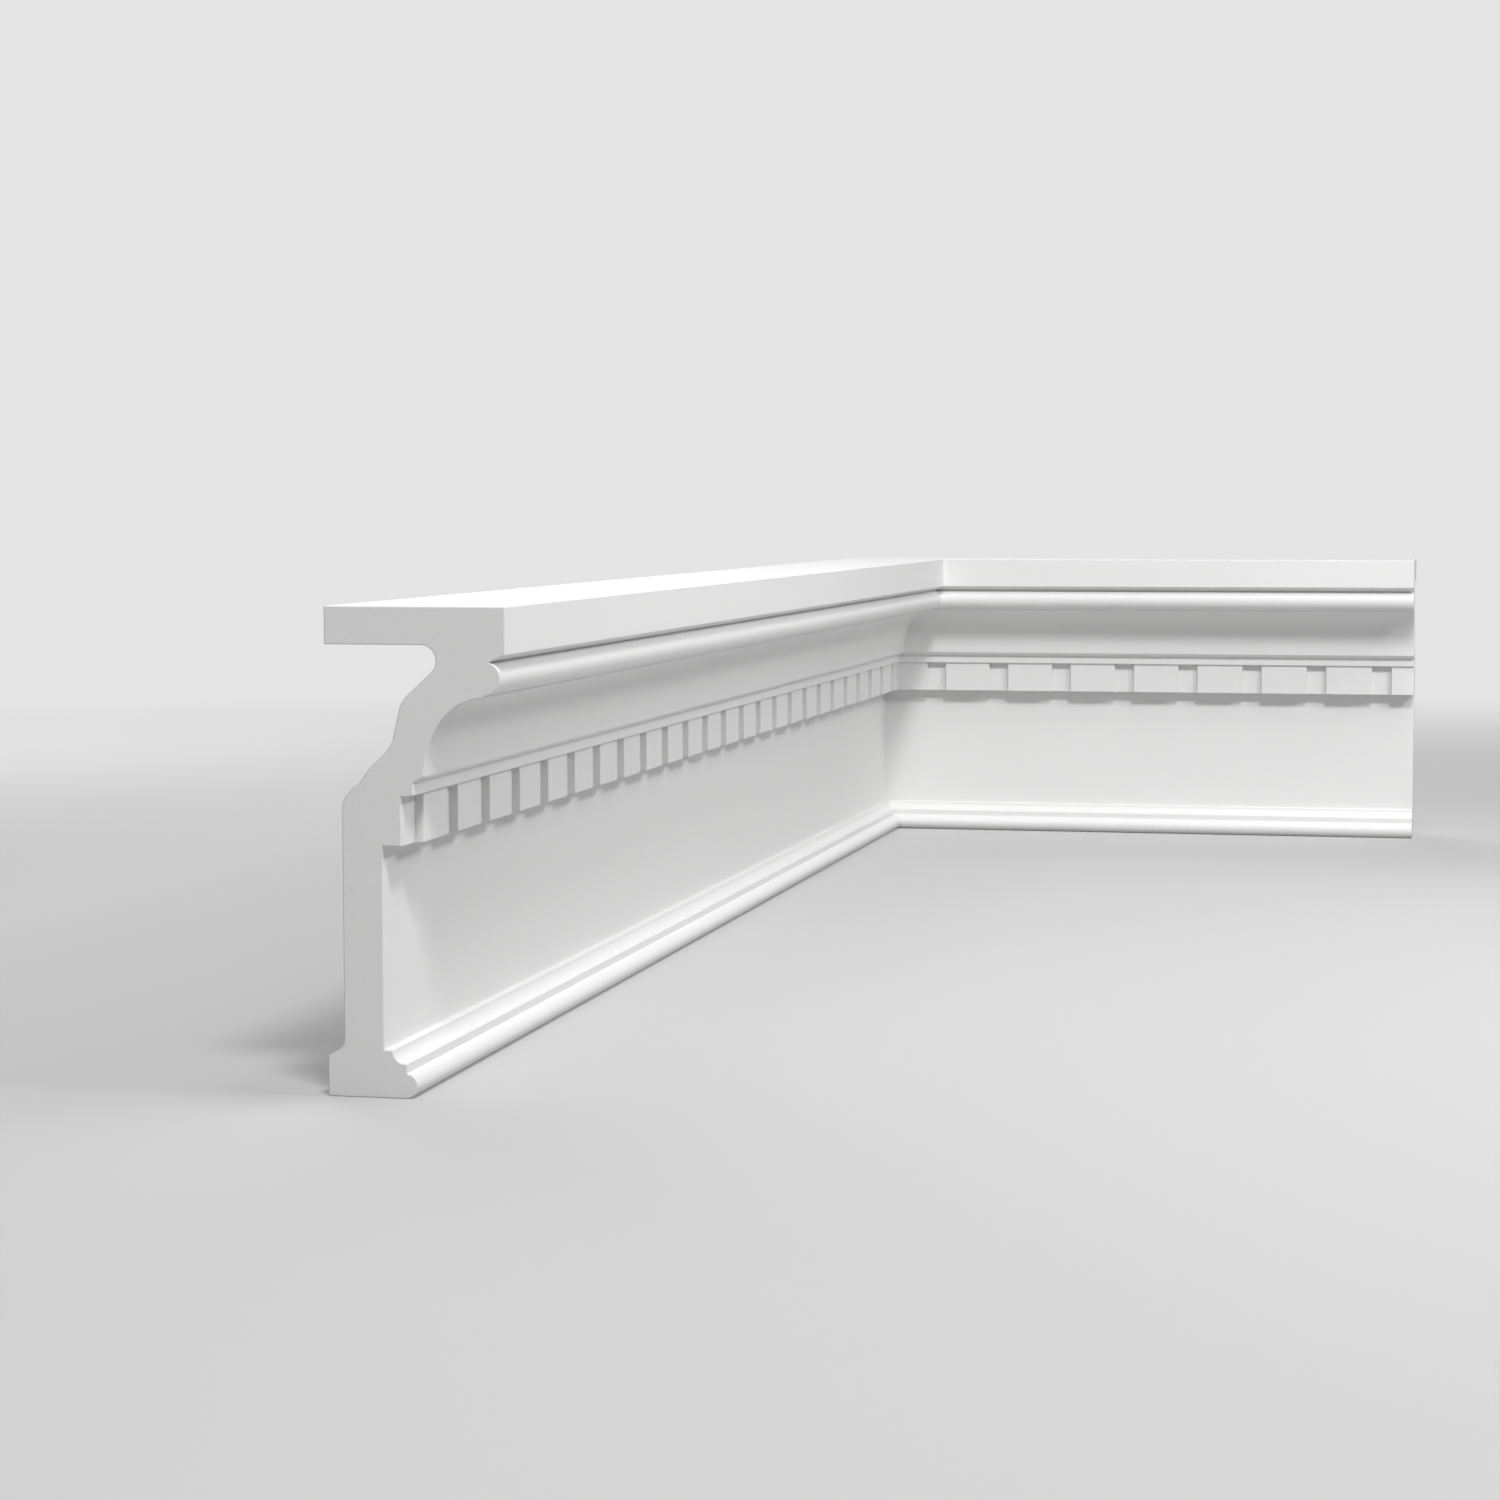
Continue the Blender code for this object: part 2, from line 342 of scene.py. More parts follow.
class Signal:
    """A value socket that can stand in a Python expression, which adds its Math nodes."""

    def __init__(self, graph: "Graph", socket: bpy.types.NodeSocket) -> None:
        """Wraps an output socket of a graph."""
        self.graph = graph
        self.socket = socket

    def maths(self, operation: str, first: Any, second: Any = None) -> "Signal":
        """Adds one Math node.

        Args:
            operation: Blender's name of the operation.
            first: the first operand, a number or a signal.
            second: the second operand, where there is one.

        Returns:
            The result.
        """
        operands = {0: first} if second is None else {0: first, 1: second}
        node = self.graph.node("ShaderNodeMath", {"operation": operation}, operands)
        return Signal(self.graph, node.outputs[0])

    def __add__(self, other: Any) -> "Signal":
        """self + other."""
        return self.maths("ADD", self, other)

    __radd__ = __add__

    def __sub__(self, other: Any) -> "Signal":
        """self - other."""
        return self.maths("SUBTRACT", self, other)

    def __rsub__(self, other: Any) -> "Signal":
        """other - self."""
        return self.maths("SUBTRACT", other, self)

    def __mul__(self, other: Any) -> "Signal":
        """self * other."""
        return self.maths("MULTIPLY", self, other)

    __rmul__ = __mul__

    def __gt__(self, other: Any) -> "Signal":
        """1 where self is the greater, else 0."""
        return self.maths("GREATER_THAN", self, other)

    def __lt__(self, other: Any) -> "Signal":
        """1 where self is the lesser, else 0."""
        return self.maths("LESS_THAN", self, other)

    def __abs__(self) -> "Signal":
        """The size of self without its sign."""
        return self.maths("ABSOLUTE", self)

    def ramp(self, low: float, high: float) -> "Signal":
        """0 below low, 1 above high, and a smooth rise between them."""
        node = self.graph.node(
            "ShaderNodeMapRange",
            {"interpolation_type": "SMOOTHSTEP", "clamp": True},
            {"Value": self, "From Min": low, "From Max": high},
        )
        return Signal(self.graph, node.outputs[0])


class Graph:
    """A node tree while it is wired."""

    def __init__(self, tree: bpy.types.NodeTree) -> None:
        """Takes the tree and clears it."""
        self.tree = tree
        tree.nodes.clear()

    def node(
        self, kind: str, settings: dict[str, Any] | None = None, sockets: dict[Any, Any] | None = None
    ) -> bpy.types.Node:
        """Adds any node.

        Args:
            kind: the node's type.
            settings: its own settings, which are set first.
            sockets: values or links for its input sockets, by name or number.

        Returns:
            The node.
        """
        node = self.tree.nodes.new(kind)
        for name, value in (settings or {}).items():
            setattr(node, name, value)
        for name, value in (sockets or {}).items():
            self.feed(node.inputs[name], value)
        return node

    def feed(self, socket: bpy.types.NodeSocket, value: Any) -> None:
        """Links a signal or a socket to an input, or sets the input's value."""
        if isinstance(value, Signal):
            self.tree.links.new(value.socket, socket)
        elif isinstance(value, bpy.types.NodeSocket):
            self.tree.links.new(value, socket)
        else:
            socket.default_value = value

    def axes(self, vector: bpy.types.NodeSocket) -> tuple[Signal, Signal, Signal]:
        """The three coordinates of a vector."""
        parts = self.node("ShaderNodeSeparateXYZ", sockets={0: vector}).outputs
        return Signal(self, parts[0]), Signal(self, parts[1]), Signal(self, parts[2])

    def upright(self, along: Any) -> bpy.types.NodeSocket:
        """A vector along Z."""
        return self.node("ShaderNodeCombineXYZ", sockets={"Z": along}).outputs[0]


def mesh_object(name: str, mesh: bpy.types.Mesh) -> bpy.types.Object:
    """Links a mesh to the scene as an object at the origin."""
    thing = bpy.data.objects.new(name, mesh)
    bpy.context.scene.collection.objects.link(thing)
    return thing


def baked(thing: bpy.types.Object) -> bpy.types.Mesh:
    """The mesh of an object with its modifiers applied."""
    bpy.context.view_layer.update()
    graph = bpy.context.evaluated_depsgraph_get()
    return bpy.data.meshes.new_from_object(
        thing.evaluated_get(graph), preserve_all_data_layers=True, depsgraph=graph
    )


@dataclass(frozen=True)
class Finish:
    """One finish of the foam: a pale colour that drifts to another, a sheen, and a fine relief."""

    name: str
    light: Colour
    dark: Colour
    roughness: float
    roughness_drift: float = 0.05
    relief: float = 0.03 * MM

    def material(self) -> bpy.types.Material:
        """Builds the material.

        Returns:
            A material whose colour, roughness and bump come from the finish's own pattern.
        """
        material = bpy.data.materials.new(self.name)
        material.use_nodes = True
        graph = Graph(material.node_tree)
        shade, sheen, height = self.pattern(graph)
        colour = graph.node(
            "ShaderNodeMix",
            {"data_type": "RGBA"},
            {"Factor": shade, 6: (*self.light, 1), 7: (*self.dark, 1)},
        )
        bump = graph.node(
            "ShaderNodeBump", sockets={"Strength": 1.0, "Distance": self.relief, "Height": height}
        )
        shader = graph.node(
            "ShaderNodeBsdfPrincipled",
            sockets={
                "Base Color": colour.outputs[2],
                "Roughness": self.roughness + self.roughness_drift * (sheen - 0.5),
                "Normal": bump.outputs[0],
            },
        )
        graph.node("ShaderNodeOutputMaterial", sockets={"Surface": shader.outputs[0]})
        return material

    def pattern(self, graph: Graph) -> tuple[Signal, Signal, Signal]:
        """How the finish varies over the surface.

        Args:
            graph: the material's tree.

        Returns:
            The share of the dark colour, the drift of the sheen and the relief's height, each from 0 to 1.
        """
        raise NotImplementedError

    @staticmethod
    def noise(
        graph: Graph, size: float, detail: float = 2.0, stretch: Place = (1, 1, 1), tilt: float = 0
    ) -> Signal:
        """Soft noise fixed to the piece.

        Args:
            graph: the material's tree.
            size: how far apart its spots lie, in metres.
            detail: how many finer octaves it has.
            stretch: how much longer the spots are along X, Y and Z.
            tilt: how far the pattern leans in each upright plane.

        Returns:
            The noise, from 0 to 1 about 0.5.
        """
        place = graph.node("ShaderNodeTexCoord").outputs["Object"]
        scale = tuple(1 / (size * length) for length in stretch)
        turned = graph.node(
            "ShaderNodeMapping", {"vector_type": "POINT"}, {"Vector": place, "Rotation": (tilt, tilt, 0)}
        )
        scaled = graph.node(
            "ShaderNodeVectorMath", {"operation": "MULTIPLY"}, {0: turned.outputs[0], 1: scale}
        )
        node = graph.node(
            "ShaderNodeTexNoise", sockets={"Vector": scaled.outputs[0], "Scale": 1.0, "Detail": detail}
        )
        return Signal(graph, node.outputs[0])

    @staticmethod
    def cells(graph: Graph, size: float) -> Signal:
        """The distance to the nearest of a scatter of points, 0 at each, in shares of their spacing."""
        place = graph.node("ShaderNodeTexCoord").outputs["Object"]
        node = graph.node("ShaderNodeTexVoronoi", sockets={"Vector": place, "Scale": 1 / size})
        return Signal(graph, node.outputs["Distance"])


@dataclass(frozen=True)
class PrimerFinish(Finish):
    """Matt white factory primer: even, with the faint orange peel of a sprayed coat."""

    drift: float = 160 * MM
    drift_share: float = 0.6
    patch: float = 22 * MM
    patch_share: float = 0.4
    peel: float = 1.1 * MM

    def pattern(self, graph: Graph) -> tuple[Signal, Signal, Signal]:
        """Wide drifts of the coat's thickness, smaller patches of sheen, and the peel."""
        drift = self.noise(graph, self.drift)
        patch = self.noise(graph, self.patch)
        peel = self.noise(graph, self.peel, detail=1.0)
        return self.drift_share * drift + self.patch_share * patch, patch, peel


@dataclass(frozen=True)
class BackFinish(Finish):
    """The foam's own skin on the open back: duller, clouded by the pour and pricked with small bubbles, whose
    pits are darkened with painted shade.
    """

    cloud: float = 60 * MM
    cloud_share: float = 0.45
    streak: float = 5 * MM
    streak_length: float = 6.0
    streak_share: float = 0.35
    streak_relief: float = 0.25
    bubble: float = 6 * MM
    bubble_edge: tuple[float, float] = (0.05, 0.12)
    bubble_shade_share: float = 0.5

    def pattern(self, graph: Graph) -> tuple[Signal, Signal, Signal]:
        """Clouds and streaks from the pour, and burst bubbles whose pits are darkened with painted shade."""
        cloud = self.noise(graph, self.cloud, detail=3.0)
        stretch = (self.streak_length, self.streak_length, 1)
        streak = self.noise(graph, self.streak, detail=3.0, stretch=stretch)
        skin = self.cells(graph, self.bubble).ramp(*self.bubble_edge)
        # the bubbles' pits are darkened here with painted shade; the bump also sinks them
        shade = self.cloud_share * cloud + self.streak_share * streak + self.bubble_shade_share * (1 - skin)
        return shade, cloud, self.streak_relief * streak + (1 - self.streak_relief) * skin


@dataclass(frozen=True)
class SawnFinish(Finish):
    """The foam's cut cells on the sawn ends, darkened at their centres with painted shade, with the faint lines
    that the saw leaves.
    """

    cell: float = 0.45 * MM
    cell_edge: tuple[float, float] = (0.1, 0.7)
    pore_shade_share: float = 0.45
    line: float = 0.9 * MM
    line_length: float = 40.0
    line_share: float = 0.35
    line_relief: float = 0.3
    saw_tilt: float = radians(8)
    density: float = 12 * MM
    density_share: float = 0.2

    def pattern(self, graph: Graph) -> tuple[Signal, Signal, Signal]:
        """Open cells whose pits are darkened with painted shade, the saw's lines and a slow drift of the foam's
        density.
        """
        cell = self.cells(graph, self.cell).ramp(*self.cell_edge)
        line = self.noise(graph, self.line, stretch=(1, 1, self.line_length), tilt=self.saw_tilt)
        density = self.noise(graph, self.density)
        # the cells' pits are darkened here with painted shade; the bump also sinks them
        shade = self.pore_shade_share * (1 - cell) + self.line_share * line + self.density_share * density
        return shade, density, (1 - self.line_relief) * cell + self.line_relief * line


@dataclass(frozen=True)
class Finishes:
    """The three finishes of a length."""

    primed: PrimerFinish = PrimerFinish(
        "matt_primer",
        light=(0.79, 0.79, 0.787),
        dark=(0.765, 0.765, 0.762),
        roughness=0.46,
        relief=0.012 * MM,
    )
    back: BackFinish = BackFinish(
        "foam_back",
        light=(0.80, 0.795, 0.785),
        dark=(0.66, 0.655, 0.64),
        roughness=0.62,
        relief=0.10 * MM,
    )
    sawn: SawnFinish = SawnFinish(
        "sawn_foam",
        light=(0.87, 0.87, 0.867),
        dark=(0.82, 0.82, 0.816),
        roughness=0.75,
        relief=0.03 * MM,
    )

    def materials(self) -> dict[Skin, bpy.types.Material]:
        """The material of each skin."""
        return {
            Skin.PRIMED: self.primed.material(),
            Skin.BACK: self.back.material(),
            Skin.SAWN: self.sawn.material(),
        }


class CastingTree:
    """The geometry nodes that cast one length: the section swept, chamfered, mitred and cut into dentils."""

    INPUTS = (
        ("Section", "NodeSocketObject"),
        ("Length", "NodeSocketFloat"),
        ("Chamfer", "NodeSocketFloat"),
        ("Start chamfer", "NodeSocketFloat"),
        ("End chamfer", "NodeSocketFloat"),
        ("Start shear", "NodeSocketFloat"),
        ("End shear", "NodeSocketFloat"),
        ("Gap cutter", "NodeSocketObject"),
        ("Gap pitch", "NodeSocketFloat"),
        ("Gap count", "NodeSocketInt"),
        ("Gap start", "NodeSocketFloat"),
        ("End gap cutter", "NodeSocketObject"),
    )
    CAP_NORMAL = 0.9
    WELD = 0.002 * MM

    def __init__(self, materials: dict[Skin, bpy.types.Material]) -> None:
        """Builds the tree with one Set Material for each skin."""
        self.tree = bpy.data.node_groups.new("moulding_casting", "GeometryNodeTree")
        self.graph = Graph(self.tree)
        self.sockets = {
            name: self.tree.interface.new_socket(name=name, in_out="INPUT", socket_type=kind)
            for name, kind in self.INPUTS
        }
        self.tree.interface.new_socket(name="Geometry", in_out="OUTPUT", socket_type="NodeSocketGeometry")
        self.given = self.graph.node("NodeGroupInput")
        cast = self.dentilled(self.mitred(self.marked(self.chamfered(self.swept()))))
        self.dressed(self.ordered(cast), materials)

    def signal(self, name: str) -> Signal:
        """One of the tree's inputs."""
        return Signal(self.graph, self.given.outputs[name])

    def guide(self, name: str) -> bpy.types.NodeSocket:
        """The mesh of an object input."""
        node = self.graph.node("GeometryNodeObjectInfo", sockets={"Object": self.given.outputs[name]})
        return node.outputs["Geometry"]

    def mark(self, skin: Skin) -> bpy.types.NodeSocket:
        """Where a skin is marked."""
        node = self.graph.node(
            "GeometryNodeInputNamedAttribute", {"data_type": "BOOLEAN"}, {"Name": skin.value}
        )
        return node.outputs["Attribute"]

    def run_place(self) -> tuple[Signal, Signal, Signal]:
        """Where a point is: outwards, upwards and along the run."""
        return self.graph.axes(self.graph.node("GeometryNodeInputPosition").outputs[0])

    def swept(self) -> bpy.types.NodeSocket:
        """The section swept along the run, which lies along Z, with a ring a chamfer in from each end."""
        graph = self.graph
        length, chamfer = self.signal("Length"), self.signal("Chamfer")
        section = graph.node("GeometryNodeMeshToCurve", sockets={"Mesh": self.guide("Section")})
        line = graph.node("GeometryNodeCurvePrimitiveLine", sockets={"End": graph.upright(length)})
        rings = graph.node("GeometryNodeSubdivideCurve", sockets={"Curve": line.outputs[0], "Cuts": 2})
        index = Signal(graph, graph.node("GeometryNodeInputIndex").outputs[0])
        past_first, past_second, last = index > 0.5, index > 1.5, index > 2.5
        along = past_first * chamfer + past_second * (length - 2 * chamfer) + last * chamfer
        path = graph.node(
            "GeometryNodeSetPosition",
            sockets={"Geometry": rings.outputs[0], "Position": graph.upright(along)},
        )
        sweep = graph.node(
            "GeometryNodeCurveToMesh",
            sockets={"Curve": path.outputs[0], "Profile Curve": section.outputs[0], "Fill Caps": True},
        )
        return sweep.outputs[0]

    def chamfered(self, geometry: bpy.types.NodeSocket) -> bpy.types.NodeSocket:
        """Draws the outline in at the square ends."""
        graph = self.graph
        along = self.run_place()[2]
        half = self.signal("Chamfer") * 0.5
        at_start = (along < half) * self.signal("Start chamfer")
        at_end = (along > self.signal("Length") - half) * self.signal("End chamfer")
        inward = graph.node(
            "GeometryNodeInputNamedAttribute", {"data_type": "FLOAT_VECTOR"}, {"Name": "inward"}
        )
        offset = graph.node(
            "ShaderNodeVectorMath",
            {"operation": "SCALE"},
            {0: inward.outputs["Attribute"], "Scale": at_start + at_end},
        )
        moved = graph.node(
            "GeometryNodeSetPosition", sockets={"Geometry": geometry, "Offset": offset.outputs[0]}
        )
        return moved.outputs[0]

    def marked(self, geometry: bpy.types.NodeSocket) -> bpy.types.NodeSocket:
        """Marks the faces of the back, and the two flat ends."""
        graph = self.graph
        along = graph.axes(graph.node("GeometryNodeInputNormal").outputs[0])[2]
        marks = {Skin.BACK: self.mark(Skin.BACK), Skin.SAWN: abs(along) > self.CAP_NORMAL}
        for skin, value in marks.items():
            stored = graph.node(
                "GeometryNodeStoreNamedAttribute",
                {"data_type": "BOOLEAN", "domain": "FACE"},
                {"Geometry": geometry, "Name": skin.value, "Value": value},
            )
            geometry = stored.outputs[0]
        return geometry

    def mitred(self, geometry: bpy.types.NodeSocket) -> bpy.types.NodeSocket:
        """Shears the two ends by the distance outwards, which turns a square end into a mitre."""
        graph = self.graph
        out, _, along = self.run_place()
        far = along > self.signal("Length") * 0.5
        slide = out * (far * self.signal("End shear") + (1 - far) * self.signal("Start shear"))
        moved = graph.node(
            "GeometryNodeSetPosition", sockets={"Geometry": geometry, "Offset": graph.upright(slide)}
        )
        return moved.outputs[0]

    def dentilled(self, geometry: bpy.types.NodeSocket) -> bpy.types.NodeSocket:
        """Takes the gaps out of the band: one cutter repeated along the run, and one at the end."""
        graph = self.graph
        row = graph.node(
            "GeometryNodeMeshLine",
            {"mode": "OFFSET", "count_mode": "TOTAL"},
            {
                "Count": self.given.outputs["Gap count"],
                "Start Location": graph.upright(self.signal("Gap start")),
                "Offset": graph.upright(self.signal("Gap pitch")),
            },
        )
        placed = graph.node(
            "GeometryNodeInstanceOnPoints",
            sockets={"Points": row.outputs[0], "Instance": self.guide("Gap cutter")},
        )
        gaps = graph.node("GeometryNodeRealizeInstances", sockets={"Geometry": placed.outputs[0]})
        cutters = graph.node("GeometryNodeJoinGeometry", sockets={0: gaps.outputs[0]})
        graph.feed(cutters.inputs[0], self.guide("End gap cutter"))
        cut = graph.node(
            "GeometryNodeMeshBoolean",
            {"operation": "DIFFERENCE", "solver": "EXACT"},
            {"Mesh 1": geometry, "Mesh 2": cutters.outputs[0]},
        )
        welded = graph.node(
            "GeometryNodeMergeByDistance", sockets={"Geometry": cut.outputs["Mesh"], "Distance": self.WELD}
        )
        return welded.outputs[0]

    def ordered(self, geometry: bpy.types.NodeSocket) -> bpy.types.NodeSocket:
        """Sorts the points and then the faces by their places, because a boolean leaves them in any order."""
        for domain in ("POINT", "FACE"):
            for place in self.run_place():
                step = self.graph.node(
                    "GeometryNodeSortElements", {"domain": domain}, {"Geometry": geometry, "Sort Weight": place}
                )
                geometry = step.outputs[0]
        return geometry

    def dressed(self, geometry: bpy.types.NodeSocket, materials: dict[Skin, bpy.types.Material]) -> None:
        """Ends the tree: real geometry, then each skin's material."""
        graph = self.graph
        flow = graph.node("GeometryNodeRealizeInstances", sockets={"Geometry": geometry}).outputs[0]
        for skin, material in materials.items():
            dress = graph.node("GeometryNodeSetMaterial", sockets={"Geometry": flow, "Material": material})
            if skin is not Skin.PRIMED:
                graph.feed(dress.inputs["Selection"], self.mark(skin))
            flow = dress.outputs[0]
        graph.node("NodeGroupOutput", sockets={"Geometry": flow})


@dataclass(frozen=True)
class DentilRow:
    """The gaps between the dentils of one length, counted along its run."""

    section: Section
    width: float = 32.5 * MM
    gap: float = 13.6 * MM
    smallest: float = 4.0 * MM
    margin: float = 5.0 * MM
    arris: float = 0.4 * MM
    arris_steps: int = 4

    @property
    def pitch(self) -> float:
        """From one gap to the next."""
        return self.width + self.gap

    def count(self, first: float, stop: float) -> int:
        """How many whole gaps fit.

        Args:
            first: where the first gap begins.
            stop: where the smallest dentil may end.

        Returns:
            The number of gaps.
        """
        return int((stop - self.smallest - self.gap - first) / self.pitch) + 1

    def side(self, along: float, way: int) -> list[tuple[float, float]]:
        """One side of a gap, from its back out to the dentils' fronts, where it rounds the arris.

        Args:
            along: where the side is along the run.
            way: the direction away from the gap, 1 or -1.

        Returns:
            Its points, outwards and along the run.
        """
        face = self.section.dentil_face
        turns = [pi / 2 * i / self.arris_steps for i in range(self.arris_steps + 1)]
        points = [(self.section.gap_face, along)]
        points += [
            (face - self.arris * (1 - sin(a)), along + way * self.arris * (1 - cos(a))) for a in turns
        ]
        points.append((face + self.margin, along + way * self.arris))
        return points

    def whole_gap(self, name: str) -> bpy.types.Object:
        """The cutter for one gap between two dentils."""
        return self.cutter(name, self.side(0, -1) + self.side(self.gap, 1)[::-1])

    def end_gap(self, name: str, high: float, chamfer: float) -> bpy.types.Object:
        """The cutter for a gap that runs out at a square end, which it leaves with a chamfer.

        Args:
            name: the cutter's name.
            high: where the first dentil begins.
            chamfer: the chamfer's size.

        Returns:
            The cutter.
        """
        back = self.section.gap_face
        mouth = self.section.dentil_face + self.margin
        start = [(mouth, -self.margin), (back - chamfer - self.margin, -self.margin), (back, chamfer)]
        return self.cutter(name, start + self.side(high, 1))

    def cutter(self, name: str, plan: list[tuple[float, float]]) -> bpy.types.Object:
        """A cutter with the height of the band.

        Args:
            name: its name.
            plan: its outline, outwards and along the run.

        Returns:
            An object whose run lies along Z, like the casting's.
        """
        foot, top = self.section.band_foot - self.margin, self.section.band_top
        shape = bmesh.new()
        face = shape.faces.new([shape.verts.new((out, foot, along)) for out, along in plan])
        raised = bmesh.ops.extrude_face_region(shape, geom=[face])["geom"]
        corners = [part for part in raised if isinstance(part, bmesh.types.BMVert)]
        bmesh.ops.translate(shape, vec=(0, top - foot, 0), verts=corners)
        bmesh.ops.recalc_face_normals(shape, faces=shape.faces)
        mesh = bpy.data.meshes.new(name)
        shape.to_mesh(mesh)
        shape.free()
        return mesh_object(name, mesh)


@dataclass(frozen=True)
class MouldingLength:
    """One length of the moulding, cast in foam and primed."""

    node: str
    section: Section
    row: DentilRow
    length: float
    mitre: Mitre
    first_gap: float
    place: Matrix
    end_gap: float | None = None
    chamfer: float = 0.35 * MM
    smooth_below: float = radians(32)

    @property
    def name(self) -> str:
        """The piece's name."""
        return f"{self.node}_casting"

    def section_object(self) -> bpy.types.Object:
        """The section as a ring of edges, with the back marked and the way inwards stored."""
        points = self.section.outline()
        mesh = bpy.data.meshes.new(f"{self.node}_section")
        ring = [(i, (i + 1) % len(points)) for i in range(len(points))]
        mesh.from_pydata([(point.out, point.up, 0) for point in points], ring, [])
        marks = mesh.attributes.new(Skin.BACK.value, "BOOLEAN", "POINT")
        marks.data.foreach_set("value", [point.skin is Skin.BACK for point in points])
        inward = mesh.attributes.new("inward", "FLOAT_VECTOR", "POINT")
        ways = [(*way, 0) for way in self.section.inward(points)]
        inward.data.foreach_set("vector", [number for way in ways for number in way])
        return mesh_object(mesh.name, mesh)

    def guides(self) -> dict[str, bpy.types.Object]:
        """The objects that the tree reads: the section and the cutters."""
        guides = {
            "Section": self.section_object(),
            "Gap cutter": self.row.whole_gap(f"{self.node}_gap"),
        }
        if self.end_gap is not None:
            guides["End gap cutter"] = self.row.end_gap(f"{self.node}_end_gap", self.end_gap, self.chamfer)
        return guides

    def sizes(self) -> dict[str, float]:
        """The numbers that the tree reads."""
        starts_mitred = self.mitre is Mitre.START
        stop = self.length if starts_mitred else self.length - self.section.dentil_face
        return {
            "Length": self.length,
            "Chamfer": self.chamfer,
            "Start chamfer": 0.0 if starts_mitred else self.chamfer,
            "End chamfer": self.chamfer if starts_mitred else 0.0,
            "Start shear": 1.0 if starts_mitred else 0.0,
            "End shear": 0.0 if starts_mitred else -1.0,
            "Gap pitch": self.row.pitch,
            "Gap count": self.row.count(self.first_gap, stop),
            "Gap start": self.first_gap,
        }

    def build(self, casting: CastingTree) -> bpy.types.Object:
        """Casts the length.

        Args:
            casting: the tree that does it.

        Returns:
            The finished piece, at the origin with its place in its mesh.
        """
        guides = self.guides()
        holder = mesh_object(f"{self.node}_holder", bpy.data.meshes.new(f"{self.node}_holder"))
        step = holder.modifiers.new("casting", "NODES")
        step.node_group = casting.tree
        for name, value in {**guides, **self.sizes()}.items():
            step[casting.sockets[name].identifier] = value
        mesh = baked(holder)
        holder.modifiers.remove(step)
        for guide in [*guides.values(), holder]:
            bpy.data.objects.remove(guide, do_unlink=True)
        mesh.materials.pop(index=0)
        mesh.transform(self.place)
        mesh.flip_normals()
        return self.smoothed(mesh_object(self.name, mesh))

    def smoothed(self, piece: bpy.types.Object) -> bpy.types.Object:
        """Shades round stretches smooth and keeps the flats flat."""
        piece.data.shade_smooth()
        piece.data.set_sharp_from_angle(angle=self.smooth_below)
        weighted = piece.modifiers.new("flats", "WEIGHTED_NORMAL")
        weighted.keep_sharp = True
        mesh = baked(piece)
        piece.modifiers.remove(weighted)
        piece.data = mesh
        mesh.name = self.name
        return piece


@dataclass(frozen=True)
class Moulding:
    """The two lengths, mitred in the corner."""

    first_gap: float = 18.2 * MM
    corner_dentil: float = 22.1 * MM
    finishes: Finishes = Finishes()

    def lengths(self) -> list[MouldingLength]:
        """The long run and the short return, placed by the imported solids."""
        long_low, long_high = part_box("long_run")
        return_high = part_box("short_return")[1]
        back_x, back_y = long_low.x, return_high.y
        section = Section(height=long_high.z - long_low.z, projection=long_high.x - long_low.x)
        row = DentilRow(section)
        long_place = Matrix(((1, 0, 0, back_x), (0, 0, 1, long_low.y), (0, 1, 0, 0), (0, 0, 0, 1)))
        return_place = Matrix(((0, 0, 1, back_x), (-1, 0, 0, back_y), (0, 1, 0, 0), (0, 0, 0, 1)))
        long_run = MouldingLength(
            "long_run", section, row,
            length=back_y - long_low.y,
            mitre=Mitre.END,
            first_gap=self.first_gap + row.width,
            place=long_place,
            end_gap=self.first_gap,
        )
        short_return = MouldingLength(
            "short_return", section, row,
            length=return_high.x - back_x,
            mitre=Mitre.START,
            first_gap=section.dentil_face + self.corner_dentil,
            place=return_place,
        )
        return [long_run, short_return]

    def build(self) -> None:
        """Casts both lengths and sets them on the frame."""
        casting = CastingTree(self.finishes.materials())
        for length in self.lengths():
            piece = length.build(casting)
            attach(piece, "root")
            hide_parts(length.node)
            log.info("%s: %d faces", piece.name, len(piece.data.polygons))


@dataclass(frozen=True)
class Camera:
    """The photograph's viewpoint."""

    place: Place = (0.2519, -1.8511, 0.2415)
    heading: float = radians(12.515)
    pitch: float = radians(-4.297)
    roll: float = radians(-0.085)
    focal_pixels: float = 3298

    def build(self) -> None:
        """Makes the camera and gives it to the scene."""
        data = bpy.data.cameras.new("viewpoint")
        data.sensor_width = SENSOR
        data.lens = self.focal_pixels / PHOTO_SIDE * SENSOR
        thing = bpy.data.objects.new("viewpoint", data)
        bpy.context.scene.collection.objects.link(thing)
        turn = Matrix.Rotation(self.heading, 4, "Z") @ Matrix.Rotation(pi / 2 + self.pitch, 4, "X")
        thing.matrix_world = Matrix.Translation(self.place) @ turn @ Matrix.Rotation(self.roll, 4, "Z")
        bpy.context.scene.camera = thing


@dataclass(frozen=True)
class Softbox:
    """A square lamp that looks at the moulding."""

    name: str
    place: Place
    side: float
    watts: float
    target: Place = (-0.05, 0.1, 0.1)

    def build(self) -> None:
        """Makes the lamp."""
        lamp = bpy.data.lights.new(self.name, "AREA")
        lamp.energy = self.watts
        lamp.size = self.side
        thing = bpy.data.objects.new(self.name, lamp)
        bpy.context.scene.collection.objects.link(thing)
        thing.visible_camera = False
        thing.location = self.place
        thing.rotation_euler = (Vector(self.place) - Vector(self.target)).to_track_quat("Z", "Y").to_euler()


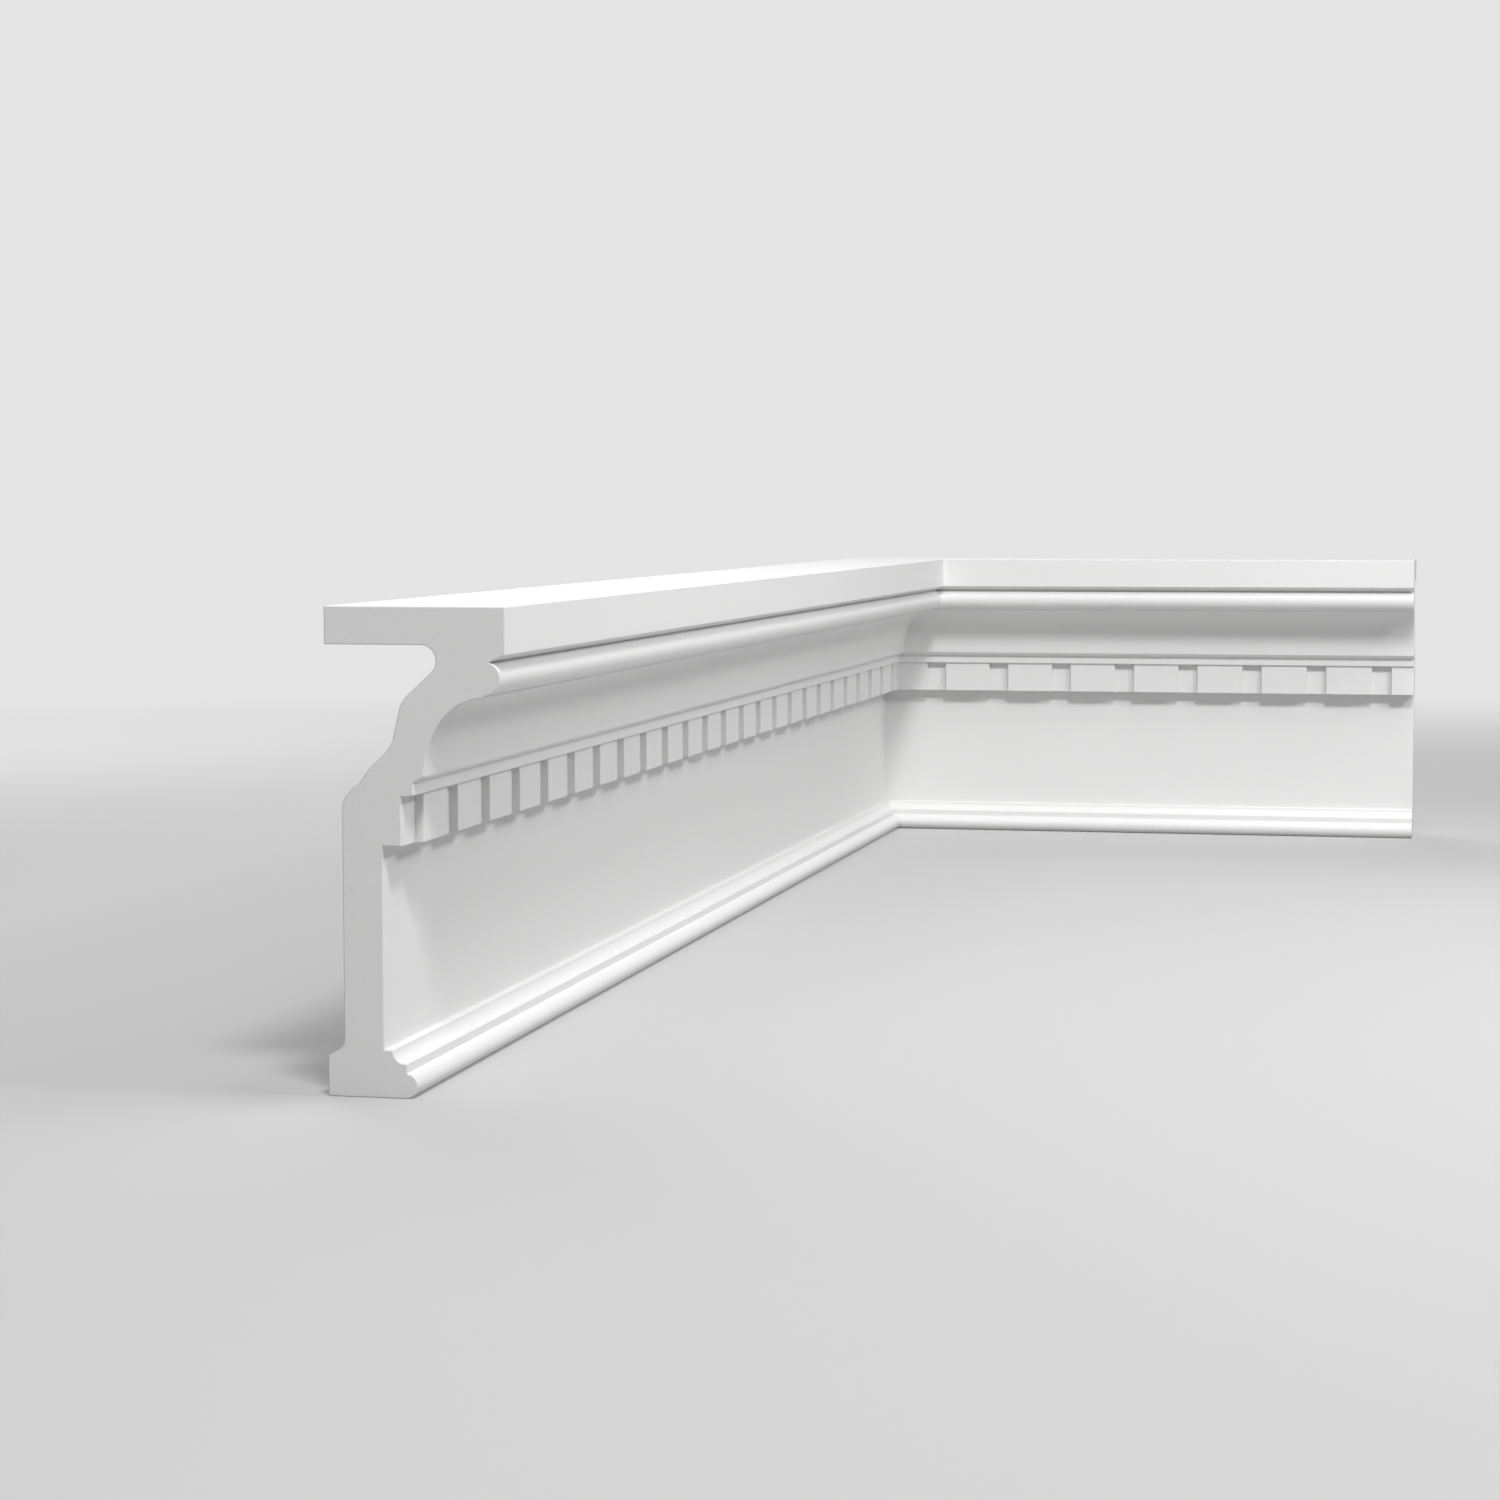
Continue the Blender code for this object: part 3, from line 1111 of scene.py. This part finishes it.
@dataclass(frozen=True)
class Studio:
    """A pale floor that clears into its backdrop, a dome of light and the softboxes."""

    dome: float = 0.1
    backdrop: float = 0.78
    floor_side: float = 60.0
    floor_grey: float = 0.48
    floor_roughness: float = 0.9
    floor_clear: float = 0.2
    fade: tuple[float, float] = (0.8, 2.4)
    lamps: tuple[Softbox, ...] = (
        Softbox("front", (0.47, -1.42, 1.8), 0.35, 29),
        Softbox("over", (0.25, -0.35, 1.9), 0.4, 6.4),
        Softbox("side", (1.1, -0.5, 1.0), 0.22, 6.4),
        Softbox("corner", (0.7, 0.0, 1.0), 0.8, 6.6),
        Softbox("left", (-0.3, -2.2, 0.8), 0.6, 2.2),
        Softbox("behind", (-0.6, 1.6, 1.4), 1.0, 10),
        Softbox("back", (-1.5, 1.3, 0.8), 0.9, 12),
    )

    def build(self) -> None:
        """Makes the stage and the lights."""
        bpy.context.scene.view_settings.view_transform = "Standard"
        world = bpy.data.worlds.new("dome")
        bpy.context.scene.world = world
        world.use_nodes = True
        graph = Graph(world.node_tree)
        seen = Signal(graph, graph.node("ShaderNodeLightPath").outputs["Is Camera Ray"])
        strength = self.dome + (self.backdrop - self.dome) * seen
        light = graph.node("ShaderNodeBackground", sockets={"Color": (1, 1, 1, 1), "Strength": strength})
        graph.node("ShaderNodeOutputWorld", sockets={"Surface": light.outputs[0]})
        for lamp in self.lamps:
            lamp.build()
        self.floor()

    def floor(self) -> None:
        """A wide plane of pale paper that clears into the backdrop away from the moulding."""
        half = self.floor_side / 2
        mesh = bpy.data.meshes.new("floor")
        corners = [(-half, -half, 0), (half, -half, 0), (half, half, 0), (-half, half, 0)]
        mesh.from_pydata(corners, [], [(0, 1, 2, 3)])
        floor = mesh_object("floor", mesh)
        material = bpy.data.materials.new("floor_paper")
        material.use_nodes = True
        graph = Graph(material.node_tree)
        place = graph.node("ShaderNodeTexCoord").outputs["Object"]
        distance = graph.node("ShaderNodeVectorMath", {"operation": "LENGTH"}, {0: place})
        away = Signal(graph, distance.outputs["Value"]).ramp(*self.fade)
        clearness = self.floor_clear + (1 - self.floor_clear) * away
        paper = graph.node(
            "ShaderNodeBsdfPrincipled",
            sockets={"Base Color": (*[self.floor_grey] * 3, 1), "Roughness": self.floor_roughness},
        )
        clear = graph.node("ShaderNodeBsdfTransparent")
        mixed = graph.node(
            "ShaderNodeMixShader", sockets={0: clearness, 1: paper.outputs[0], 2: clear.outputs[0]}
        )
        graph.node("ShaderNodeOutputMaterial", sockets={"Surface": mixed.outputs[0]})
        mesh.materials.append(material)


def main() -> None:
    """Builds the moulding, the camera and the studio."""
    logging.basicConfig(level=logging.INFO, format="%(name)s: %(message)s")
    Moulding().build()
    Camera().build()
    Studio().build()


if __name__ == "__main__":
    main()
